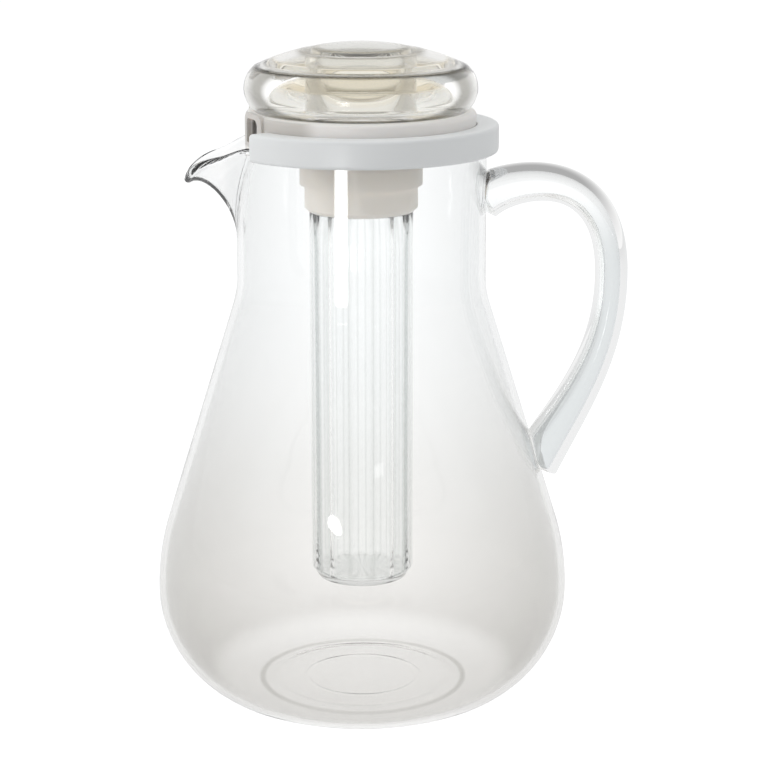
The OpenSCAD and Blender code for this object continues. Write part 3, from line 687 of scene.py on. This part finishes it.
# Rim ring
# Opaque white ring that clips round the lid and caps the rim. It is open at the spout, and its
# two ends are rounded.
ring_r, ring_h, ring_skirt, ring_round, ring_gap = 57.6, 11.6, 4.8, 1.6, math.radians(37.5)
drum_r, seat, clip, skirt_gap = 48.2, 0.1, 0.2, 0.5
ring_low = rim_z - ring_skirt
ring_top = ring_low + ring_h
ring_bore = drum_r + clip
skirt_r = neck_r + skirt_gap


def softened(corners, radius, steps=4):
    """The outline with each corner rounded by a small arc, as points of radius and height."""
    rounded = []
    n = len(corners)
    for i in range(n):
        a, b, c = Vector(corners[i - 1]), Vector(corners[i]), Vector(corners[(i + 1) % n])
        r = radius[i] if isinstance(radius, (list, tuple)) else radius
        u, w = (a - b), (c - b)
        turn = u.angle(w)
        if r <= 0 or turn > math.radians(176):
            rounded.append(tuple(b))
            continue
        cut = min(r / math.tan(turn / 2), u.length * 0.48, w.length * 0.48)
        p, q = b + u.normalized() * cut, b + w.normalized() * cut
        for k in range(steps + 1):
            t = k / steps
            rounded.append(tuple(p * (1 - t) ** 2 + b * 2 * t * (1 - t) + q * t ** 2))
    return rounded


ring_outline = softened(
    [(ring_bore, rim_z + seat), (skirt_r, rim_z + seat), (skirt_r, ring_low), (ring_r, ring_low),
     (ring_r, ring_top), (ring_bore, ring_top)],
    [0.2, 0.2, 0.5, ring_round, ring_round, 0.9])
ring_middle = ((ring_bore + ring_r) / 2 + 1.5, (ring_low + ring_top) / 2)
end_round = 2.6
ring_steps = 150
half_span = math.pi - ring_gap
points, faces = [], []
stations = [(half_span - d / ring_r, d) for d in
            [end_round * (1 - math.cos(math.pi / 2 * k / 6)) for k in range(7)]]
straight_start = -half_span + end_round / ring_r
between = [(straight_start - 2 * straight_start * k / ring_steps, end_round) for k in range(1, ring_steps)]
stations = [(-a, d) for a, d in stations] + between + stations[::-1]
for a, d in stations:
    pull = end_round - math.sqrt(max(0.0, end_round ** 2 - (end_round - d) ** 2))
    for r, z in ring_outline:
        dr, dz = ring_middle[0] - r, ring_middle[1] - z
        r2 = r + math.copysign(min(abs(dr), pull), dr)
        z2 = z + math.copysign(min(abs(dz), pull), dz)
        points.append((r2 * math.cos(a), r2 * math.sin(a), z2))
n = len(ring_outline)
for i in range(len(stations) - 1):
    for j in range(n):
        k = (j + 1) % n
        faces.append((i * n + j, i * n + k, (i + 1) * n + k, (i + 1) * n + j))
faces.append(tuple(range(n))[::-1])
faces.append(tuple((len(stations) - 1) * n + j for j in range(n)))
ring = add_piece("white_rim_ring", points, [f[::-1] for f in faces])


def solid_plastic(name, base, alt, rough_low, rough_high, ior, sheer=0.0, depth=(0.0, 0.0, 0.0)):
    """Moulded opaque or milky plastic: slow colour drift, a fine satin texture, soft gloss."""
    m = bpy.data.materials.new(name)
    m.use_nodes = True
    nt = m.node_tree
    skin = nt.nodes["Principled BSDF"]
    where = add_node(nt, "ShaderNodeTexCoord")
    drift = add_node(nt, "ShaderNodeTexNoise", Scale=18.0, Detail=2.0)
    nt.links.new(where.outputs["Object"], drift.inputs["Vector"])
    colour = add_node(nt, "ShaderNodeMix", data_type="RGBA")
    colour.inputs["A"].default_value = (*base, 1)
    colour.inputs["B"].default_value = (*alt, 1)
    nt.links.new(drift.outputs["Fac"], colour.inputs["Factor"])
    nt.links.new(colour.outputs["Result"], skin.inputs["Base Color"])
    fine = add_node(nt, "ShaderNodeTexNoise", Scale=900.0, Detail=2.0)
    nt.links.new(where.outputs["Object"], fine.inputs["Vector"])
    satin = add_node(nt, "ShaderNodeMapRange")
    satin.inputs["To Min"].default_value = rough_low
    satin.inputs["To Max"].default_value = rough_high
    nt.links.new(fine.outputs["Fac"], satin.inputs["Value"])
    nt.links.new(satin.outputs[0], skin.inputs["Roughness"])
    bump = add_node(nt, "ShaderNodeBump", Strength=0.08, Distance=0.0002)
    nt.links.new(fine.outputs["Fac"], bump.inputs["Height"])
    nt.links.new(bump.outputs[0], skin.inputs["Normal"])
    skin.inputs["IOR"].default_value = ior
    skin.inputs["Subsurface Weight"].default_value = sheer
    skin.inputs["Subsurface Radius"].default_value = depth
    skin.inputs["Subsurface Scale"].default_value = 1.0
    return m


ring_white = solid_plastic(
    "white_ring_plastic", base=(0.80, 0.815, 0.815), alt=(0.83, 0.835, 0.83),
    rough_low=0.28, rough_high=0.4, ior=1.5)
ring.data.materials.append(ring_white)
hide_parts("rim_ring")
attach(ring, "lid")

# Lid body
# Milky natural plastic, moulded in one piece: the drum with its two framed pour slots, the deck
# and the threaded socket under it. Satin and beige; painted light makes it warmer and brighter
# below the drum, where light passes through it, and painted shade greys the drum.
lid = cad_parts["lid_body"]
lid_milky = solid_plastic(
    "milky_lid_plastic", base=(0.95, 0.875, 0.79), alt=(0.97, 0.895, 0.81),
    rough_low=0.32, rough_high=0.46, ior=1.5, sheer=0.35, depth=(0.004, 0.0035, 0.003))

nt = lid_milky.node_tree
x_at, y_at, height, radius = places(nt)
# Painted shade greys the drum, more so beside the slot on the -X side, and darkens the inside of the drum;
# painted light makes the deck under the knob pale
drum_grey_shade = by_place(nt, height, 0.232, 0.240, 0, 1)
slot_side_shade = by_place(nt, height, 0.2405, 0.2415, 0, 1)
slot_side_shade = both(nt, "MULTIPLY", by_place(nt, x_at, -0.024, -0.016, 1, 0), slot_side_shade)
slot_side_shade = both(nt, "MULTIPLY", slot_side_shade, by_place(nt, radius, 0.0470, 0.0476, 0, 1))
drum_inside_shade = band(nt, height, 0.230, 0.240, 0.2519, 0.2525)
drum_inside_shade = both(nt, "MULTIPLY", drum_inside_shade, by_place(nt, radius, 0.0463, 0.0474, 1, 0))
deck_painted_light = by_place(nt, height, 0.2530, 0.2538, 0, 1)
deck_painted_light = both(nt, "MULTIPLY", by_place(nt, radius, 0.0430, 0.0440, 1, 0), deck_painted_light)
lay_over(nt, drum_grey_shade, (0.86, 0.83, 0.80), "MIX")
lay_over(nt, slot_side_shade, (0.70, 0.695, 0.68))
lay_over(nt, drum_inside_shade, (0.25, 0.235, 0.22), "MIX")
lay_over(nt, deck_painted_light, (0.95, 0.94, 0.92), "MIX")
for i in range(len(lid.material_slots)):
    lid.material_slots[i].material = lid_milky

# Knob
# Thick clear knob with a faint smoky tint, in two turned-looking mouldings: a bowl that snaps
# into the deck and a domed cap whose edge is the seam round the knob.
deck_z = rim_z + 12.0
deck_under = deck_z - 2.2
knob_r, knob_side_h, bulge_arc, hollow_r, knob_floor = 48.8, 18.2, 12.0, 39.6, 3.3
cap_rise, cap_t, disc_r, valley_w, valley = 9.83, 3.0, 18.3, 8.2, 0.9
spigot_r, spigot_h, hub_r, hub_wall = 36.4, 8.2, 23.2, 3.6
snap_r, snap_h, barb, snap_wall = 19.6, 6.4, 0.7, 2.4
knob_low = deck_z + seat
knob_mid = knob_low + knob_side_h / 2
bulge_at = (knob_r - bulge_arc, knob_mid)
bulge_turn = math.asin(knob_side_h / 2 / bulge_arc)
knob_edge = bulge_at[0] + bulge_arc * math.cos(bulge_turn)
seam_z = knob_low + knob_side_h
floor_z = knob_low + knob_floor
cap_low = seam_z + seat
cap_arc = (knob_edge ** 2 + cap_rise ** 2) / (2 * cap_rise)
cap_at = (0.0, cap_low + cap_rise - cap_arc)


def turned(outline, steps=128):
    """Points and faces of an outline turned round the axis. It starts and ends on the axis."""
    pts = [(0, 0, outline[0][1])]
    body = outline[1:-1]
    for i in range(steps):
        a = 2 * math.pi * i / steps
        pts += [(r * math.cos(a), r * math.sin(a), z) for r, z in body]
    pts.append((0, 0, outline[-1][1]))
    n = len(body)
    fcs = []
    for i in range(steps):
        a, b = 1 + i * n, 1 + (i + 1) % steps * n
        fcs.append((0, b, a))
        fcs += [(a + j, b + j, b + j + 1, a + j + 1) for j in range(n - 1)]
        fcs.append((a + n - 1, b + n - 1, len(pts) - 1))
    return pts, fcs


shell_line = [(0, knob_low), (snap_r - snap_wall - 0.4, knob_low), (snap_r - snap_wall, knob_low - 0.4),
              (snap_r - snap_wall, knob_low - snap_h + 0.3), (snap_r - snap_wall + 0.3, knob_low - snap_h),
              (snap_r - 0.3, knob_low - snap_h), (snap_r, knob_low - snap_h + 0.3),
              (snap_r + barb, deck_under - clip - 0.3), (snap_r + barb - 0.15, deck_under - clip),
              (snap_r, deck_under - clip + 0.15), (snap_r, knob_low - 0.3), (snap_r + 0.3, knob_low)]
shell_line += arc(bulge_at, bulge_arc, -bulge_turn, bulge_turn, 24)
shell_line += [(knob_edge - 1.2, seam_z), (hollow_r + 0.5, seam_z), (hollow_r, seam_z - 0.5)]
shell_line += arc((hollow_r - 2.5, floor_z + 2.5), 2.5, 0, -math.pi / 2, 8)
shell_line += [(30, floor_z), (20, floor_z), (10, floor_z), (0, floor_z)]
points, faces = turned(shell_line)
shell = add_piece("knob_bowl", points, faces)

valley_r = disc_r + valley_w
edge_a, valley_a, disc_a = (math.acos(r / cap_arc) for r in (knob_edge, valley_r, disc_r))
inside_arc = cap_arc - cap_t
cap_top = arc(cap_at, cap_arc, edge_a, valley_a, 16)
for k in range(1, 21):
    share = k / 20
    sink = valley * (0.08 - 0.08 * math.cos(2 * math.pi * share)) + valley * 0.1 * share
    a = valley_a + (disc_a - valley_a) * share
    cap_top.append(((cap_arc - sink) * math.cos(a), cap_at[1] + (cap_arc - sink) * math.sin(a)))
cap_top += arc(cap_at, cap_arc - valley * 0.1, disc_a, math.pi / 2, 14)[1:]
cap_line = [cap_top[-1]] + cap_top[-2::-1]
spigot_out = hollow_r - clip
spigot_low = cap_low - spigot_h
cap_line += [(knob_edge - 0.2, cap_low + 0.02), (knob_edge - 0.8, cap_low), (spigot_out + 0.3, cap_low),
             (spigot_out, cap_low - 0.3), (spigot_out, spigot_low + 0.5), (spigot_out - 0.5, spigot_low),
             (spigot_r + 0.5, spigot_low), (spigot_r, spigot_low + 0.5)]
in_a = math.acos(spigot_r / inside_arc)
hub_a = math.acos(hub_r / inside_arc)
hub_in_a = math.acos((hub_r - hub_wall) / inside_arc)
cap_line += arc(cap_at, inside_arc, in_a, hub_a - 0.004, 8)
hub_low = floor_z + seat
cap_line += [(hub_r, cap_at[1] + inside_arc * math.sin(hub_a) - 0.6), (hub_r, hub_low + 0.3),
             (hub_r - 0.3, hub_low), (hub_r - hub_wall + 0.3, hub_low), (hub_r - hub_wall, hub_low + 0.3),
             (hub_r - hub_wall, cap_at[1] + inside_arc * math.sin(hub_in_a) - 0.6)]
cap_line += arc(cap_at, inside_arc, hub_in_a + 0.004, math.pi / 2, 8)
cap_line = [(max(0, r), z) for r, z in cap_line]
cap_line[0] = (0, cap_line[0][1])
cap_line[-1] = (0, cap_line[-1][1])
points, faces = turned(cap_line[::-1])
cap = add_piece("knob_dome", points, faces)
knob_clear = clear_plastic(
    "knob_clear_plastic", low_z=0.25, high_z=0.285, low_tint_and_shade=(0.995, 0.99, 0.97),
    high_tint_and_shade=(0.995, 0.99, 0.97), low_rim_shade=(0.93, 0.93, 0.92), high_rim_shade=(0.93, 0.93, 0.92),
    edge_power=2.0, ior=1.34, shade=(0.985, 0.985, 0.98))
nt = knob_clear.node_tree
x_at, y_at, height, radius = places(nt)
turning = add_node(nt, "ShaderNodeLayerWeight", Blend=0.5).outputs["Facing"]
# Painted shade, smoky grey, stands in for the darker surroundings that the thick plastic bends into
# view: along the spigot that the two mouldings overlap on, in the disc and the slope round it, in a band
# inside the side, and at the seam and the lower edge. Along the spigot the light also goes the long way
# through the plastic, which gives part of its smoky tint.
on_dome = by_place(nt, height, 0.2755, 0.2765, 0, 1)
spigot_tint_and_shade = band(nt, radius, 0.0355, 0.0362, 0.0396, 0.0400)
spigot_tint_and_shade = both(nt, "MULTIPLY", spigot_tint_and_shade, by_place(nt, height, 0.2630, 0.2645, 0, 1))
slope_shade = both(nt, "MULTIPLY", band(nt, radius, 0.0165, 0.0200, 0.0250, 0.0290), on_dome)
disc_shade = both(nt, "MULTIPLY", by_place(nt, radius, 0.0165, 0.0200, 1, 0), on_dome)
side_band_shade = band(nt, turning, 0.38, 0.50, 0.56, 0.92)
side_band_shade = both(nt, "MULTIPLY", side_band_shade, by_place(nt, radius, 0.0430, 0.0445, 0, 1))
seam_and_edge_shade = band(nt, height, 0.2712, 0.2720, 0.2729, 0.2737)
seam_and_edge_shade = both(nt, "MAXIMUM", seam_and_edge_shade, by_place(nt, height, 0.2549, 0.2560, 1, 0))
seam_and_edge_shade = both(nt, "MULTIPLY", seam_and_edge_shade, by_place(nt, radius, 0.0430, 0.0442, 0, 1))
lay_over(nt, spigot_tint_and_shade, (0.94, 0.91, 0.85))
lay_over(nt, slope_shade, (0.40, 0.385, 0.34))
lay_over(nt, disc_shade, (0.84, 0.84, 0.82))
lay_over(nt, side_band_shade, (0.20, 0.195, 0.175))
lay_over(nt, seam_and_edge_shade, (0.25, 0.24, 0.215))
for piece, node in ((shell, "knob_shell"), (cap, "knob_cap")):
    piece.data.materials.append(knob_clear)
    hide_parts(node)
    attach(piece, "lid")

# Sealing ring
# Pale silicone ring in the groove of the tube's neck. It keeps the melt water inside the tube.
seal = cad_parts["tube_seal"]
seal_rubber = solid_plastic(
    "pale_silicone", base=(0.78, 0.78, 0.75), alt=(0.82, 0.82, 0.79),
    rough_low=0.45, rough_high=0.6, ior=1.41, sheer=0.2, depth=(0.001, 0.001, 0.001))
for i in range(len(seal.material_slots)):
    seal.material_slots[i].material = seal_rubber

# Ice tube
# Clear tube, closed and bevelled below and fluted inside, that screws up into the lid's socket
# and holds the ice away from the drink.
tube_r, tube_low, tube_floor, land_r, flute_deep, flutes = 21.9, 51.0, 3.0, 18.0, 0.8, 12
bevel_h, bevel_w, tube_neck_r, tube_neck_h = 4.8, 2.7, 20.9, 19.0
mouth_z = rim_z - 30.0
shoulder_z = mouth_z - seat
neck_top = shoulder_z + tube_neck_h
seal_d, groove_w, seal_drop, seal_gap = 1.5, 2.0, 2.6, 0.05
seal_z = neck_top - seal_drop
groove_r = tube_neck_r + 2 * seal_gap - seal_d
tube_line = [(10, tube_low), (tube_r - bevel_w - 0.6, tube_low), (tube_r - bevel_w - 0.1, tube_low + 0.15)]
for k in range(5):
    out = tube_r - bevel_w + 0.1 + (bevel_w - 0.15) * k / 4
    tube_line.append((out, tube_low + 0.5 + (bevel_h - 0.9) * k / 4))
side_start, side_run = tube_low + bevel_h + 0.3, shoulder_z - 0.6 - tube_low - bevel_h
tube_line += [(tube_r, side_start + side_run * k / 12) for k in range(12)]
groove_low, groove_high = seal_z - groove_w / 2, seal_z + groove_w / 2
tube_line += [(tube_r, shoulder_z - 0.3), (tube_r - 0.3, shoulder_z), (tube_neck_r + 0.2, shoulder_z),
              (tube_neck_r, shoulder_z + 0.2), (tube_neck_r, groove_low), (groove_r, groove_low),
              (groove_r, groove_high), (tube_neck_r, groove_high), (tube_neck_r, neck_top - 0.4),
              (tube_neck_r - 0.4, neck_top)]
around = flutes * 14
points, faces = [(0, 0, tube_low)], []
floor_in = tube_low + tube_floor
bore_rows = [(1.0, neck_top - 0.3)]
bore_rows += [(1.0, floor_in + 1.2 + (neck_top - 1.5 - floor_in) * (1 - k / 14)) for k in range(1, 15)]
bore_rows += [(0.985, floor_in + 0.5), (0.95, floor_in + 0.08), (0.85, floor_in), (0.5, floor_in)]
for i in range(around):
    a = 2 * math.pi * i / around
    points += [(r * math.cos(a), r * math.sin(a), z) for r, z in tube_line]
    bore = land_r + flute_deep * abs(math.cos(flutes * a / 2)) ** 1.2
    points.append(((bore + 0.3) * math.cos(a), (bore + 0.3) * math.sin(a), neck_top))
    points += [(bore * s * math.cos(a), bore * s * math.sin(a), z) for s, z in bore_rows]
n = len(tube_line) + 1 + len(bore_rows)
points.append((0, 0, floor_in))
for i in range(around):
    a, b = 1 + i * n, 1 + (i + 1) % around * n
    faces.append((0, b, a))
    faces += [(a + j, b + j, b + j + 1, a + j + 1) for j in range(n - 1)]
    faces.append((a + n - 1, b + n - 1, len(points) - 1))

# The thread is a ridge that winds once and a quarter round the neck
pitch, turns_long, ridge_h, ridge_foot, ridge_crest = 5.0, 1.25, 0.8, 2.0, 1.1
thread_z = mouth_z + ridge_foot + pitch / 2
start = len(points)
thread_steps = 90
for i in range(thread_steps + 1):
    turn = turns_long * i / thread_steps
    a = 2 * math.pi * turn
    grow = min(1.0, i / 6, (thread_steps - i) / 6) * 0.96 + 0.04
    crest_r = tube_neck_r + ridge_h * grow
    for r, z in ((tube_neck_r - 0.2, -ridge_foot / 2), (tube_neck_r - 0.2, ridge_foot / 2),
                 (crest_r, ridge_crest / 2), (crest_r, -ridge_crest / 2)):
        points.append((r * math.cos(a), r * math.sin(a), thread_z + pitch * turn + z))
for i in range(thread_steps):
    for j in range(4):
        k = (j + 1) % 4
        p = start + 4 * i
        faces.append((p + j, p + 4 + j, p + 4 + k, p + k))
faces.append((start, start + 1, start + 2, start + 3))
end = start + 4 * thread_steps
faces.append((end + 3, end + 2, end + 1, end))
tube = add_piece("ice_tube_clear", points, faces)
# Painted shade: the tube's rims are tinted darker, and its lower part a little darker
tube_clear = clear_plastic(
    "tube_clear_plastic", low_z=0.05, high_z=0.2, low_tint_and_shade=(0.965, 0.975, 0.975),
    high_tint_and_shade=(0.98, 0.985, 0.985), low_rim_shade=(0.66, 0.67, 0.66), high_rim_shade=(0.74, 0.75, 0.74),
    edge_power=2.0, ior=1.53, shade=(0.98, 0.98, 0.98))
nt = tube_clear.node_tree
x_at, y_at, height, radius = places(nt)
# The lands between the flutes are thicker; faint grey lines of painted shade mark them down the bore,
# in place of the light that they bend aside. Near its edges the tube is looked at along its wall, and a
# darker line of painted shade is put there
turn = both(nt, "ARCTAN2", y_at, x_at)
wave = add_node(nt, "ShaderNodeMath", operation="MULTIPLY")
nt.links.new(turn, wave.inputs[0])
wave.inputs[1].default_value = flutes / 2
crest = add_node(nt, "ShaderNodeMath", operation="SINE")
nt.links.new(wave.outputs[0], crest.inputs[0])
sharp = add_node(nt, "ShaderNodeMath", operation="POWER")
nt.links.new(both(nt, "MULTIPLY", crest.outputs[0], crest.outputs[0]), sharp.inputs[0])
sharp.inputs[1].default_value = 7.0
land_line_shade = both(nt, "MULTIPLY", sharp.outputs[0], by_place(nt, radius, 0.0190, 0.0200, 1, 0))
turning = add_node(nt, "ShaderNodeLayerWeight", Blend=0.5).outputs["Facing"]
edge_line_shade = by_place(nt, radius, 0.0205, 0.0215, 0, 1)
edge_line_shade = both(nt, "MULTIPLY", band(nt, turning, 0.40, 0.50, 0.54, 0.64), edge_line_shade)
lay_over(nt, land_line_shade, (0.80, 0.81, 0.80))
lay_over(nt, edge_line_shade, (0.42, 0.45, 0.44))
tube.data.materials.append(tube_clear)
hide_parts("ice_tube")
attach(tube, "tube")
